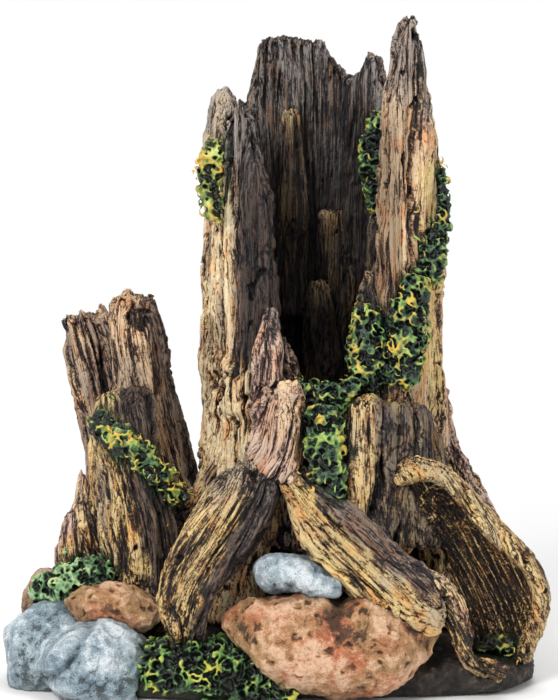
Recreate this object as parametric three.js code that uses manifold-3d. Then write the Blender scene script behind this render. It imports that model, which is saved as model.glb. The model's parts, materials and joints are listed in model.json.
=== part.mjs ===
// A hollow tree-stump cave for an aquarium: cast and painted resin pieces, bonded side by side on one base.
// Millimetres, +Z up, +X to the right, -Y to the front. The origin is on the base's flat underside.
import * as THREE from "three";
import { mergeVertices } from "three/addons/utils/BufferGeometryUtils.js";
import Module from "manifold-3d";

const wasm = await Module();
wasm.setup();

// ---- Driving dimensions ----

const HEIGHT = 185; // tip of the tallest spire above the tank floor
const BOND = 0.45; // bond line left between neighbouring castings
const TRUNK = {
  x: 13, // axis of the hollow trunk
  y: 8,
  radiusX: 33,
  radiusY: 30,
  wall: 7,
  flare: 14, // how far the foot spreads past the trunk
  flareTop: 70, // height where the spread begins
};
const COLLAR_RISE = 7.2; // the broken root collar stands this far outside the trunk
const BASE = { rim: 8, crown: 16, centreX: 2, centreY: -1 };
const SMOOTHING = 0.1; // slivers and steps smaller than this are merged away after a cut

const DEGREE = Math.PI / 180;

// ---- Colours of the painted resin ----

const paint = (color, roughness) => new THREE.MeshStandardMaterial({ color, roughness, metalness: 0 });
const BARK = paint(0x8a6b3f, 0.62);
const GREY_WOOD = paint(0x5b5048, 0.66);
const DARK_WOOD = paint(0x3d2f2a, 0.66);
const ORANGE_STONE = paint(0xc07a55, 0.58);
const BLUE_STONE = paint(0x8a9aa8, 0.55);
const MOSS = paint(0x2f6b34, 0.6);
const EARTH = paint(0x2a211d, 0.7);

// ---- Shape tools ----

const clamp01 = (value) => Math.min(1, Math.max(0, value));
const hump = (value, centre, width) => Math.exp(-(((value - centre) / width) ** 2));

const throughPoints = (points) => new THREE.CatmullRomCurve3(points.map((p) => new THREE.Vector3(...p)));

// Straight-line interpolation through [position, value] stops.
function alongStops(stops, at) {
  const next = stops.findIndex(([position]) => position >= at);
  if (next === 0) return stops[0][1];
  if (next < 0) return stops[stops.length - 1][1];
  const [a, valueA] = stops[next - 1];
  const [b, valueB] = stops[next];
  return valueA + ((valueB - valueA) * (at - a)) / (b - a);
}

// Straight-line interpolation through evenly spaced values, at 0 to 1.
function alongValues(values, at) {
  return alongStops(
    values.map((value, i) => [i / (values.length - 1), value]),
    at,
  );
}

// Moves every vertex of a three.js geometry to move(x, y, z) and returns the closed solid.
function bend(geometry, move) {
  const position = geometry.getAttribute("position");
  const point = new THREE.Vector3();
  for (let i = 0; i < position.count; i++) {
    point.fromBufferAttribute(position, i);
    point.copy(move(point.x, point.y, point.z));
    position.setXYZ(i, point.x, point.y, point.z);
  }
  geometry.deleteAttribute("normal");
  geometry.deleteAttribute("uv");
  const merged = mergeVertices(geometry, 1e-3);
  const mesh = new wasm.Mesh({
    numProp: 3,
    vertProperties: merged.getAttribute("position").array,
    triVerts: new Uint32Array(merged.index.array),
  });
  return new wasm.Manifold(mesh);
}

// The largest piece that a cut leaves, without the slivers.
function mainBody(solid) {
  const pieces = solid.simplify(SMOOTHING).decompose();
  return pieces.reduce((best, piece) => (piece.volume() > best.volume() ? piece : best));
}

// A round-bodied limb along a smooth curve through points, with one radius per stop.
// flat squeezes its depth, ridges and depth groove it along the grain, and broken makes its far end jagged.
function limb(points, radii, options, grow) {
  const { flat = 1, ridges = 5, depth = 0.1, twist = 0, broken = 0, rings = 7, sides = 10 } = options;
  const curve = throughPoints(points);
  const front = new THREE.Vector3(0, -1, 0.12).normalize();
  return bend(new THREE.CylinderGeometry(1, 1, 1, sides, rings), (x, y, z) => {
    const t = clamp01(y + 0.5);
    const reach = Math.hypot(x, z);
    const angle = Math.atan2(x, z);
    const groove = 1 + depth * Math.sin(ridges * angle + twist * t) + 0.05 * Math.sin(11 * t + 2 * angle);
    const radius = reach * (alongValues(radii, t) * groove + grow);
    const along = curve.getTangent(t);
    const side = new THREE.Vector3().crossVectors(front, along).normalize();
    const outward = new THREE.Vector3().crossVectors(side, along);
    const jag = t === 1 ? broken * reach * Math.sin(3 * angle + ridges) : 0;
    const end = t === 1 ? grow : t === 0 ? -grow : 0;
    return curve
      .getPoint(t)
      .addScaledVector(side, radius * Math.sin(angle))
      .addScaledVector(outward, radius * flat * Math.cos(angle))
      .addScaledVector(along, jag + end);
  });
}

// Radius of the trunk's outer face, as a share of the plain ellipse, at an angle from the front and a height.
function trunkShare(angle, z) {
  const spread = (TRUNK.flare / TRUNK.radiusX) * clamp01(1 - z / TRUNK.flareTop) ** 2;
  const flutes = 0.024 * Math.sin(9 * angle + 0.03 * z) + 0.018 * Math.sin(17 * angle - 0.05 * z + 1);
  return 1 + spread + flutes;
}

// A curved plank of the trunk between two angles (degrees from the front, positive to the right).
// crest gives its top as [angle, height] stops. rise moves its outer face out of the trunk's.
function plank({ from, to, foot, crest, rise = 0, wall = TRUNK.wall, columns, rows = 7 }, grow) {
  const bulgeAngle = -94;
  return bend(new THREE.BoxGeometry(1, 1, 1, columns, rows, 1), (x, y, z) => {
    const growAngle = (grow / TRUNK.radiusX / DEGREE) * 2 * x;
    const degrees = from + (to - from) * (x + 0.5);
    const angle = (degrees + growAngle) * DEGREE;
    const low = foot - grow;
    const height = low + (y + 0.5) * (alongStops(crest, degrees) + grow - low);
    const share = trunkShare(angle, height);
    const knuckle = 2.4 * hump(degrees, bulgeAngle, 14) * hump(height, 77, 9);
    const thickness = wall * (1.12 - (0.35 * height) / HEIGHT);
    const inset = z > 0 ? -rise - knuckle - grow : thickness - rise + grow;
    return new THREE.Vector3(
      TRUNK.x + (TRUNK.radiusX * share - inset) * Math.sin(angle),
      TRUNK.y - (TRUNK.radiusY * share - inset) * Math.cos(angle),
      height,
    );
  });
}

// Repeatable random numbers from 0 to 1.
function randomFrom(seed) {
  let state = seed;
  return () => {
    state = (state * 16807) % 2147483647;
    return state / 2147483647;
  };
}

// A worn stone: an ellipsoid with soft flats cut from it. turn is its tilt about X, Y and Z in degrees,
// and taper makes it wider at the top than at the bottom.
function stone(centre, radii, { seed, turn = [0, 0, 0], taper = 0, flats = 9, detail = 3 }, grow) {
  const random = randomFrom(seed);
  const cuts = Array.from({ length: flats }, () => ({
    normal: new THREE.Vector3(random() - 0.5, random() - 0.5, random() - 0.5).normalize(),
    reach: 0.78 + 0.16 * random(),
  }));
  const tilt = new THREE.Euler(...turn.map((degrees) => degrees * DEGREE));
  const softness = 14;
  return bend(new THREE.IcosahedronGeometry(1, detail), (x, y, z) => {
    const way = new THREE.Vector3(x, y, z).normalize();
    let pull = 1;
    for (const { normal, reach } of cuts) pull += (Math.max(0, way.dot(normal)) / reach) ** softness;
    const radius = pull ** (-1 / softness);
    return new THREE.Vector3(way.x * radii[0] * (1 + taper * way.z), way.y * radii[1], way.z * radii[2])
      .multiplyScalar(radius)
      .addScaledVector(way, grow)
      .applyEuler(tilt)
      .add(new THREE.Vector3(...centre));
  });
}

// A block far bigger than the object, under the tank floor, for trimming feet flat.
function belowFloor() {
  return bend(new THREE.BoxGeometry(400, 400, 100), (x, y, z) => new THREE.Vector3(x, y, z - 50));
}

// ---- The base ----

// Outline of the base in plan: its distance from the base's centre at an angle from +X.
function baseReach(angle) {
  const stops = [
    [-180, 66],
    [-152, 69],
    [-128, 53],
    [-100, 42],
    [-75, 42],
    [-48, 52],
    [-26, 74],
    [-8, 70],
    [12, 68],
    [35, 62],
    [60, 56],
    [90, 52],
    [120, 55],
    [152, 60],
    [180, 66],
  ];
  return alongStops(stops, angle / DEGREE);
}

function base(grow) {
  const profile = [
    [0, 0],
    [0.95, 0],
    [1, 0.22],
    [1, 0.7],
    [0.96, 1],
    [0.85, 1.2],
    [0.65, 1.5],
    [0.4, 1.8],
    [0, BASE.crown / BASE.rim],
  ];
  const points = profile.map(([reach, level]) => new THREE.Vector2(reach, level * BASE.rim));
  return bend(new THREE.LatheGeometry(points, 36), (x, y, z) => {
    const angle = Math.atan2(-z, x);
    const share = Math.hypot(x, z);
    const reach = share * (baseReach(angle) + grow);
    const swell = y > BASE.rim ? 0.7 * Math.sin(5 * angle + 6 * share) * share : 0;
    return new THREE.Vector3(
      BASE.centreX + reach * Math.cos(angle),
      BASE.centreY + reach * Math.sin(angle),
      y + swell + (y > BASE.rim / 2 ? grow : -grow),
    );
  });
}

// ---- The hollow trunk ----

const BACK_CREST = [
  [121, 118],
  [138, 148],
  [145, 162],
  [149, 171],
  [153, 173],
  [158, 170],
  [162, 166],
  [166, 162],
  [169, 162],
  [171, 168],
  [176, 171],
  [180, 174],
  [192, 175],
  [213, 177],
  [219, 173],
  [222, 159],
  [227, 150],
  [243, 136],
];
const LEFT_CREST = [
  [-116, 148],
  [-97, 157],
  [-86, 161],
  [-74, 163],
  [-67, 162],
  [-62, 148],
  [-58, 148],
  [-54, 162],
  [-49, 164],
  [-44, 158],
  [-31, 136],
];
const RIGHT_CREST = [
  [33, 142],
  [36, 166],
  [40, 178],
  [45, HEIGHT],
  [51, HEIGHT],
  [55, 178],
  [60, 165],
  [66, 155],
  [76, 147],
  [88, 139],
  [120, 117],
];
const APRON_CREST = [
  [-30, 86],
  [-16, 80],
  [-4, 77],
  [12, 77],
  [22, 79],
  [32, 83],
];
const COLLAR_CREST = [
  [9, 80],
  [16, 82],
  [24, 80],
  [34, 80],
  [44, 77],
  [54, 72],
  [64, 65],
];

// The way in from the root arch to the foot of the hollow trunk.
const caveTunnel = (grow) =>
  limb(
    [[54, -34, 17], [46, -20, 22], [38, -11, 31], [24, 2, 30]],
    [14, 11.5, 8.8, 10.5],
    { depth: 0.06 },
    grow,
  );

const backWall = (grow) => plank({ from: 121, to: 243, foot: 4, crest: BACK_CREST, columns: 25 }, grow);
const leftWall = (grow) => plank({ from: -116, to: -31, foot: 4, crest: LEFT_CREST, columns: 17 }, grow);
const rightWall = (grow) =>
  plank({ from: 33, to: 120, foot: 4, crest: RIGHT_CREST, wall: 8, columns: 17 }, grow).subtract(
    caveTunnel(-grow),
  );
const frontApron = (grow) =>
  plank({ from: -30, to: 32, foot: 38, crest: APRON_CREST, wall: 8, columns: 12, rows: 4 }, grow);
const rootCollar = (grow) =>
  plank(
    { from: 9, to: 64, foot: 38, crest: COLLAR_CREST, rise: COLLAR_RISE, wall: 6.8, columns: 10, rows: 6 },
    grow,
  ).subtract(caveTunnel(BOND - grow));

// ---- Splinters left standing in and around the hollow ----

const ribInner = (grow) =>
  limb([[3, 28, 96], [4, 28, 126], [4, 27.5, 155]], [4.6, 3.8, 2.6], { ridges: 3, broken: 1 }, grow);
const slabInner = (grow) =>
  limb([[16, 31, 74], [16, 30.5, 100], [16, 30, 126]], [6.5, 5.5, 3.8], { flat: 0.7, broken: 1.6 }, grow);
const stubInner = (grow) =>
  limb([[12, 27, 16], [12, 26, 62], [11.5, 24, 106]], [8, 6, 3.2], { broken: 1.8, ridges: 4 }, grow);
const spikeTall = (grow) =>
  limb([[33, 10, 14], [31, 6, 70], [27.5, 4, 129]], [7.5, 6, 2.4], { broken: 1.5, ridges: 4 }, grow);
const spikeShort = (grow) =>
  limb([[27, -10, 70], [25.5, -9, 92], [25, -8, 114]], [7, 5.6, 1.8], { broken: 1, ridges: 4 }, grow);
const stubLeft = (grow) =>
  limb([[1.5, -13, 70], [1.5, -13.5, 84], [1, -13, 95]], [4.6, 3.9, 2.8], { broken: 1.4, ridges: 3 }, grow);
const splinterFront = (grow) =>
  limb([[-4.5, -23, 76], [-3.2, -22.5, 92], [-2.4, -20.5, 105]], [4.4, 3.9, 1.9], { broken: 1 }, grow);
const stubFront = (grow) =>
  limb([[-1.5, -25, 60], [0, -26, 70], [1.2, -25, 84]], [7.2, 7, 5.8], { broken: 2.4, ridges: 4 }, grow);

// ---- Roots ----

const leftRoot = (grow) =>
  limb(
    [[-4, -26, 65], [-8, -29, 57], [-15, -34, 46], [-22, -37, 36], [-26, -39, 26], [-24, -36, 12]],
    [5, 8.4, 9.6, 9.4, 7.4, 5],
    { flat: 0.75, twist: 1.5, rings: 10 },
    grow,
  );
const rightRoot = (grow) =>
  limb(
    [[3, -27, 60.5], [12, -32, 47.5], [22, -36, 38], [32, -39, 31], [39, -41, 27], [43.5, -43, 23]],
    [5.6, 8.6, 9.4, 8.4, 6.4, 4],
    { flat: 0.8, twist: 2, rings: 9 },
    grow,
  );
const rootToe = (grow) =>
  limb(
    [[37, -37, 33], [46, -39, 28.5], [49.5, -41, 20], [51, -42, 12], [61, -38, 6]],
    [4.2, 3.8, 3, 2.5, 2.4],
    { rings: 9, sides: 9 },
    grow,
  );
const leftButtress = (grow) =>
  limb([[-14, -3, 60], [-20, -5, 43], [-28, -9, 28], [-34, -14, 8]], [5, 7.6, 9.4, 11], { depth: 0.13 }, grow);
const rightButtress = (grow) =>
  limb(
    [[42, 4, 84], [44.5, 4, 69], [48, 4, 56], [54, 3, 42], [59, 3, 24], [61, 4, 6]],
    [3.6, 5, 5.8, 6.6, 7.4, 8],
    { depth: 0.13, rings: 9 },
    grow,
  );

// The arch root: a thick sheet that curls back and down from its lip at the front, sheltering a cave.
function archRoot(grow) {
  const lip = throughPoints([
    [30, -24, 60],
    [34, -25, 63.5],
    [38.5, -25.5, 64.7],
    [44.7, -25.5, 63],
    [49.7, -25.5, 59.7],
    [54, -25.5, 54.7],
    [60, -25.5, 48],
    [66.4, -25.5, 42],
    [72.5, -25, 36],
    [75.5, -24, 27],
    [74.6, -24.5, 19],
    [72, -25.5, 11],
    [70, -27, 3],
  ]);
  const heel = throughPoints([
    [36, -20.5, 50],
    [39, -18, 46.5],
    [42.5, -15.5, 41.5],
    [46, -12.5, 35.5],
    [49, -10.5, 28],
    [52.5, -10.5, 21],
    [54.5, -12.5, 12.5],
    [56.5, -15.5, 7],
  ]);
  const crown = new THREE.Vector3(2.4, 2.4, 2.4);
  const sheet = (s, t) =>
    new THREE.Vector3()
      .lerpVectors(lip.getPoint(s), heel.getPoint(s), t)
      .addScaledVector(crown, Math.sin(Math.PI * clamp01(t)));
  const step = 0.02;
  const thickness = 5;
  return bend(new THREE.BoxGeometry(1, 1, 1, 20, 6, 1), (x, y, z) => {
    const s = clamp01(x + 0.5);
    const t = 0.5 - y;
    const alongS = sheet(Math.min(1, s + step), t).sub(sheet(Math.max(0, s - step), t));
    const alongT = sheet(s, t + step).sub(sheet(s, t - step));
    const outward = new THREE.Vector3().crossVectors(alongT, alongS).normalize();
    const lipRoll = 1 + 0.35 * hump(t, 0, 0.12);
    const offset = z > 0 ? thickness * lipRoll + grow : -grow;
    return sheet(s, t)
      .addScaledVector(outward, offset)
      .addScaledVector(alongT.normalize(), -2 * y * grow)
      .addScaledVector(alongS.normalize(), 2 * x * grow);
  });
}

// ---- The broken snag on the left ----

const tallLog = (grow) =>
  limb(
    [[-28, 4, 6], [-32, 4, 45], [-37.5, 3, 76], [-41, 2, 105]],
    [12, 10.4, 8.4, 7.2],
    { broken: 2.4, ridges: 6, depth: 0.08 },
    grow,
  );
const backLog = (grow) =>
  limb(
    [[-42, 8, 6], [-45, 8, 40], [-50, 8.5, 72], [-55, 9, 98]],
    [10, 8, 6.6, 7.2],
    { broken: 3, ridges: 5, flat: 0.8 },
    grow,
  );
const frontLog = (grow) =>
  limb(
    [[-34, -16, 5], [-38, -14, 34], [-42, -12, 60], [-44, -10, 80]],
    [13, 11.4, 10, 8.4],
    { broken: 1.6, ridges: 6, depth: 0.08 },
    grow,
  );
const SMALL_STUB = { broken: 1.5, rings: 5, sides: 9 };
const stubTall = (grow) =>
  limb([[-50, -8, 6], [-52, -8, 34], [-54, -6, 56]], [8, 5.4, 3], SMALL_STUB, grow);
const stubShort = (grow) =>
  limb([[-55, -13, 6], [-57, -12, 28], [-58, -10, 46]], [7, 4.6, 2.8], SMALL_STUB, grow);

// ---- Stones ----

const boulder = (grow) =>
  stone([14.5, -39, 14], [30.5, 14.5, 15.4], { seed: 11, turn: [8, 4, 2], taper: 0.3, detail: 4 }, grow);
const blueStone = (grow) => stone([5, -37, 33], [13, 8.5, 6.6], { seed: 23, turn: [-14, 14, -6] }, grow);
const blueRock = (grow) =>
  stone([-63.5, -22, 9], [15.5, 16, 14], { seed: 5, turn: [0, -10, 20] }, grow).add(
    stone([-50, -35, 8], [15.5, 16, 13.5], { seed: 8, turn: [6, 14, -25] }, grow),
    stone([-57, -29, 6.5], [14, 12, 11.5], { seed: 9, turn: [0, 8, 10] }, grow),
  );
const orangePebble = (grow) =>
  stone([-45.5, -28, 23], [15, 10.5, 7.6], { seed: 31, turn: [-10, 8, -4] }, grow);
const backPebble = (grow) => stone([-65, -5, 16.5], [8.8, 9.5, 12.5], { seed: 41 }, grow);

// ---- Moss ----

// A low, lumpy pad of cast moss laid along a line on the surface it is bonded to.
const mossPad = (points, radii, grow) =>
  limb(points, radii, { ridges: 4, depth: 0.1, twist: 5, rings: 6, sides: 9, flat: 0.9 }, grow);

const MOSS_PADS = {
  moss_ground: [[[-38, -36, 7], [-24, -38, 7.5], [-9, -39, 6.5], [5, -42, 4]], [8, 9.4, 8.6, 5]],
  moss_snag: [[[-51, -17, 74], [-44, -21, 69], [-35, -22.5, 61], [-27, -19, 50]], [3.6, 4.8, 4, 3]],
  moss_rocks: [[[-68, -14, 23], [-58, -17, 27], [-47, -19, 30], [-40, -24, 31]], [4, 5.4, 5, 3]],
  moss_left_wall: [[[-17.5, -8, 150], [-18.5, -8, 141], [-17, -10, 128]], [3.2, 4.2, 3.2]],
  moss_inner_back: [[[30, 21, 154], [28, 20, 141], [30, 19, 127]], [3.4, 4.8, 3.8]],
  moss_right_wall: [[[43.5, -3, 142], [43, -5.5, 127], [40.5, -10, 112]], [2.8, 3.8, 4.4]],
  moss_right_cascade: [[[37, -14, 112], [35, -16, 101], [34, -18, 90], [33, -20, 84]], [4, 5.6, 5.6, 4]],
  moss_inner_right: [[[24.5, -14, 104], [24.5, -17, 93], [24, -18, 83]], [3, 5.4, 5]],
  moss_ledge: [[[4, -20, 81], [12, -20, 79], [22, -21, 82]], [3.6, 4.6, 3.6]],
  moss_front_cascade: [[[12, -27, 78], [12.5, -29, 67], [14, -32, 54]], [4.6, 5, 3.8]],
  moss_alcove: [[[54, -27, 9], [59, -25, 10], [64, -23, 9]], [3.4, 4.6, 3.6]],
};

// ---- Assembly: each piece gives way to the pieces bonded in before it ----

const CASTINGS = {
  base: [
    ["base", base, EARTH],
  ],
  trunk: [
    ["trunk_back_wall", backWall, GREY_WOOD],
    ["trunk_left_wall", leftWall, BARK],
    ["trunk_right_wall", rightWall, BARK],
    ["trunk_front_apron", frontApron, BARK],
  ],
  splinters: [
    ["inner_rib", ribInner, DARK_WOOD],
    ["inner_slab", slabInner, DARK_WOOD],
    ["inner_stub", stubInner, DARK_WOOD],
    ["inner_tall_spike", spikeTall, DARK_WOOD],
    ["inner_short_spike", spikeShort, BARK],
    ["inner_left_stub", stubLeft, DARK_WOOD],
    ["front_stub", stubFront, BARK],
    ["front_splinter", splinterFront, BARK],
  ],
  roots: [
    ["left_root", leftRoot, BARK],
    ["right_root", rightRoot, BARK],
    ["root_toe", rootToe, BARK],
    ["arch_root", archRoot, BARK],
    ["root_collar", rootCollar, BARK],
    ["left_buttress", leftButtress, DARK_WOOD],
    ["right_buttress", rightButtress, BARK],
  ],
  snag: [
    ["snag_tall_log", tallLog, BARK],
    ["snag_back_log", backLog, GREY_WOOD],
    ["snag_front_log", frontLog, BARK],
    ["snag_tall_stub", stubTall, BARK],
    ["snag_short_stub", stubShort, BARK],
  ],
  stones: [
    ["orange_boulder", boulder, ORANGE_STONE],
    ["blue_stone", blueStone, BLUE_STONE],
    ["blue_rock", blueRock, BLUE_STONE],
    ["orange_pebble", orangePebble, ORANGE_STONE],
    ["back_pebble", backPebble, ORANGE_STONE],
  ],
  moss: Object.entries(MOSS_PADS).map(([name, pad]) => [name, (grow) => mossPad(...pad, grow), MOSS]),
};

// A solid as a named mesh whose own origin is the middle of its foot.
function meshOf(name, solid, material) {
  const { min, max } = solid.boundingBox();
  const foot = new THREE.Vector3((min[0] + max[0]) / 2, (min[1] + max[1]) / 2, min[2]);
  const { vertProperties, triVerts } = solid.getMesh();
  const geometry = new THREE.BufferGeometry();
  geometry.setAttribute("position", new THREE.BufferAttribute(vertProperties, 3));
  geometry.setIndex(new THREE.BufferAttribute(triVerts, 1));
  geometry.translate(-foot.x, -foot.y, -foot.z);
  const mesh = new THREE.Mesh(geometry, material);
  mesh.name = name;
  mesh.position.copy(foot);
  return mesh;
}

const boxesMeet = (a, b) => [0, 1, 2].every((k) => a.min[k] <= b.max[k] && b.min[k] <= a.max[k]);

function assemble() {
  const ornament = new THREE.Group();
  const floor = belowFloor();
  const bonded = [];
  for (const pieces of Object.values(CASTINGS)) {
    const group = new THREE.Group();
    for (const [name, make, material] of pieces) {
      let solid = make(0).subtract(floor);
      const box = solid.boundingBox();
      for (const earlier of bonded) {
        if (boxesMeet(box, earlier.boundingBox())) solid = solid.subtract(earlier);
      }
      bonded.push(make(BOND));
      group.add(meshOf(name, mainBody(solid), material));
    }
    ornament.add(group);
  }
  return ornament;
}

export default assemble();
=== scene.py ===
"""A hollow tree-stump cave ornament: carved and painted resin wood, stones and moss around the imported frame.

Blender's units are metres. The sculpting works in millimetres, +Z up, with the open front towards -Y.
"""

import itertools
import json
import math

import bpy
import numpy as np
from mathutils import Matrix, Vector
from mathutils.bvhtree import BVHTree


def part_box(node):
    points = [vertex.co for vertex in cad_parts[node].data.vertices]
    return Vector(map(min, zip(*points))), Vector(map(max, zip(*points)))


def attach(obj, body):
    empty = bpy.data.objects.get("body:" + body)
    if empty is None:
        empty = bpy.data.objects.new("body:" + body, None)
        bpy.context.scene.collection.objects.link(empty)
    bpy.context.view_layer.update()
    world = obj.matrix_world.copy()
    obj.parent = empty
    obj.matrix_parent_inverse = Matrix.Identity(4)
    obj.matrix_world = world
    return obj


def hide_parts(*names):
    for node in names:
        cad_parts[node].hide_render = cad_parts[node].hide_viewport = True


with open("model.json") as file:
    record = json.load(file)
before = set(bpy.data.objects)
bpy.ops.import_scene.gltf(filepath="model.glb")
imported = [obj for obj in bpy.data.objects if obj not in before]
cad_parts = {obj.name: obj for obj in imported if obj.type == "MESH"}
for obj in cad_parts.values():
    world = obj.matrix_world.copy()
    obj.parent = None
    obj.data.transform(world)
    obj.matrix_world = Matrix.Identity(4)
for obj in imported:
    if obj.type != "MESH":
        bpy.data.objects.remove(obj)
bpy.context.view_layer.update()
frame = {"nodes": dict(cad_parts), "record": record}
MM = 0.001
NODES = frame["nodes"]

# ---- Numbers that repeat: noise over whole-number cells ----

CORNERS = list(itertools.product((0, 1), repeat=3))
NEIGHBOURS = list(itertools.product((-1, 0, 1), repeat=3))


def scramble(cell, seed):
    """Three repeatable random numbers from 0 to 1 for each whole-number point."""
    x, y, z = (cell[:, k].astype(np.int64).astype(np.uint32) for k in range(3))
    h = x * np.uint32(374761393) ^ y * np.uint32(668265263) ^ z * np.uint32(2246822519)
    h ^= np.uint32((seed * 3266489917 + 97) & 0xFFFFFFFF)
    h = (h ^ (h >> np.uint32(15))) * np.uint32(2246822519)
    h = (h ^ (h >> np.uint32(13))) * np.uint32(3266489917)
    h ^= h >> np.uint32(16)
    tenbits = np.uint32(1023)
    parts = (h & tenbits, (h >> np.uint32(10)) & tenbits, (h >> np.uint32(20)) & tenbits)
    return np.column_stack(parts) / 1023.0


def noise(points, seed):
    """Smooth gradient noise, about -1 to 1."""
    base = np.floor(points)
    part = points - base
    fade = part**3 * (part * (part * 6 - 15) + 10)
    total = np.zeros(len(points))
    for corner in CORNERS:
        slope = scramble(base + corner, seed) * 2 - 1
        weight = np.prod(np.where(corner, fade, 1 - fade), axis=1)
        total += weight * np.sum(slope * (part - corner), axis=1)
    return total * 1.6


def cells(points, seed):
    """Distances to the nearest two scattered points, and the nearest point's own random number."""
    base = np.floor(points)
    nearest = np.full(len(points), 9.0)
    second = nearest.copy()
    label = np.zeros(len(points))
    for shift in NEIGHBOURS:
        cell = base + shift
        random = scramble(cell, seed)
        gap = np.linalg.norm(points - cell - 0.1 - 0.8 * random, axis=1)
        closer = gap < nearest
        second = np.where(closer, nearest, np.minimum(second, gap))
        label = np.where(closer, (random[:, 0] * 7.31 + random[:, 1] * 3.17) % 1, label)
        nearest = np.where(closer, gap, nearest)
    return nearest, second, label


def ease(values, low, high):
    """0 below low and 1 above high, with a smooth rise between."""
    t = np.clip((values - low) / (high - low), 0, 1)
    return t * t * (3 - 2 * t)


def unit(vectors):
    return vectors / np.maximum(np.linalg.norm(vectors, axis=-1, keepdims=True), 1e-9)


# ---- Meshes in and out ----


def points_of(mesh):
    flat = np.empty(len(mesh.vertices) * 3, np.float32)
    mesh.vertices.foreach_get("co", flat)
    return flat.reshape(-1, 3).astype(float) / MM


def normals_of(mesh):
    flat = np.empty(len(mesh.vertices) * 3, np.float32)
    mesh.vertex_normals.foreach_get("vector", flat)
    return flat.reshape(-1, 3).astype(float)


def move_points(mesh, points):
    mesh.vertices.foreach_set("co", (points * MM).astype(np.float32).ravel())
    mesh.update()


def store(mesh, name, values):
    """Keeps one number, or one vector, per vertex for the paint to read."""
    kind, field = ("FLOAT", "value") if values.ndim == 1 else ("FLOAT_VECTOR", "vector")
    mesh.attributes.new(name, kind, "POINT").data.foreach_set(field, values.astype(np.float32).ravel())


def apply_modifiers(piece):
    graph = bpy.context.evaluated_depsgraph_get()
    mesh = bpy.data.meshes.new_from_object(piece.evaluated_get(graph), depsgraph=graph)
    piece.modifiers.clear()
    piece.data = mesh


def remesh(piece, voxel, passes, levels):
    """Makes the piece an even mesh: voxel in mm, then smoothing passes, then halvings of the spacing."""
    even = piece.modifiers.new("even", "REMESH")
    even.mode = "VOXEL"
    even.voxel_size = voxel * MM
    soft = piece.modifiers.new("soft", "SMOOTH")
    soft.factor = 0.5
    soft.iterations = passes
    fine = piece.modifiers.new("fine", "SUBSURF")
    fine.levels = fine.render_levels = levels
    apply_modifiers(piece)


def body_of(node, voxel, passes, levels):
    """A copy of a CAD solid with its facets rounded off, ready for carving."""
    piece = bpy.data.objects.new(node + "_cast", NODES[node].data.copy())
    piece.data.materials.clear()
    bpy.context.scene.collection.objects.link(piece)
    remesh(piece, voxel, passes, levels - 1 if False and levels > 1 else levels)
    return piece


def finish_piece(piece, node, material):
    piece.data.materials.clear()
    piece.data.materials.append(material)
    piece.data.shade_smooth()
    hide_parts(node)
    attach(piece, "root")


def box_of(node):
    """The lowest and highest corners of a CAD solid, in mm."""
    return [np.array(corner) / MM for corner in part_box(node)]


def tree_of(nodes):
    """One search tree over the CAD solids of several nodes, in mm."""
    corners, faces = [], []
    for node in nodes:
        mesh = NODES[node].data
        start = len(corners)
        corners.extend(map(Vector, points_of(mesh)))
        faces.extend([start + i for i in polygon.vertices] for polygon in mesh.polygons)
    return BVHTree.FromPolygons(corners, faces)


def gap_to(tree, points, limit):
    """Distance in mm from each point to the tree's nearest face, at most limit."""
    found = (tree.find_nearest(Vector(p), limit)[3] for p in points)
    return np.array([limit if gap is None else gap for gap in found])


def moss_stain(points):
    """1 on the moss's own solids, and 0 beyond MOSS_REACH of them."""
    return 1 - ease(gap_to(moss_tree, points, MOSS_REACH), 0, MOSS_REACH)


SLOT_OF = {entry["node"]: entry["material_slot"] for entry in frame["record"]["subparts"]}
WOOD_SLOTS = ("bark", "grey_wood", "dark_wood")
WOOD_NODES = [node for node, slot in SLOT_OF.items() if slot in WOOD_SLOTS]
MOSS_NODES = [node for node, slot in SLOT_OF.items() if slot == "moss"]
moss_tree = tree_of(MOSS_NODES)

# ---- Grain: where a point lies along and across the wood's fibres ----

WALLS = ("trunk_back_wall", "trunk_left_wall", "trunk_right_wall")
ROUND_THE_TRUNK = WALLS + ("trunk_front_apron", "root_collar")
wall_points = np.concatenate([points_of(NODES[node].data) for node in WALLS])
upper = wall_points[wall_points[:, 2] > 0.55 * wall_points[:, 2].max()]
TRUNK_AXIS = (upper.min(0) + upper.max(0))[:2] / 2
TRUNK_RADII = (upper.max(0) - upper.min(0))[:2] / 2
TRUNK_RADIUS = float(TRUNK_RADII.mean())
EDGE_STATIONS = 28  # places round the trunk where the height of a wall's broken edge is read
SPINE_STEPS = 80  # steps along a limb's spine when its length is measured
SPINE_SPARE = 4  # mm that a limb's spine carries on past each end of the solid


def round_grain(node, points):
    """Grain that climbs the trunk: across is round it and out from it, along is height."""
    solid = points_of(NODES[node].data)
    lean = unit(solid[:, :2].mean(0) - TRUNK_AXIS)
    middle = math.atan2(lean[0], -lean[1])

    def angle_and_reach(at):
        offset = at[:, :2] - TRUNK_AXIS
        turn = np.arctan2(offset[:, 0], -offset[:, 1]) - middle
        return (turn + np.pi) % (2 * np.pi) - np.pi, np.linalg.norm(offset, axis=1)

    # The height of the solid's top edge at stations round the trunk.
    turn, _ = angle_and_reach(solid)
    stations = np.linspace(turn.min(), turn.max(), EDGE_STATIONS)
    width = 0.7 * (stations[1] - stations[0])
    crest = []
    for station in stations:
        away = np.abs(turn - station)
        crest.append(solid[away <= max(width, away.min() + 1e-3), 2].max())
    angle, reach = angle_and_reach(points)
    to_tip = np.interp(angle, stations, crest) - points[:, 2]
    grain = np.column_stack((angle * TRUNK_RADIUS, reach - TRUNK_RADIUS, points[:, 2]))
    rise = np.tile((0.0, 0.0, 1.0), (len(points), 1))
    return grain, to_tip, rise


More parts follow.
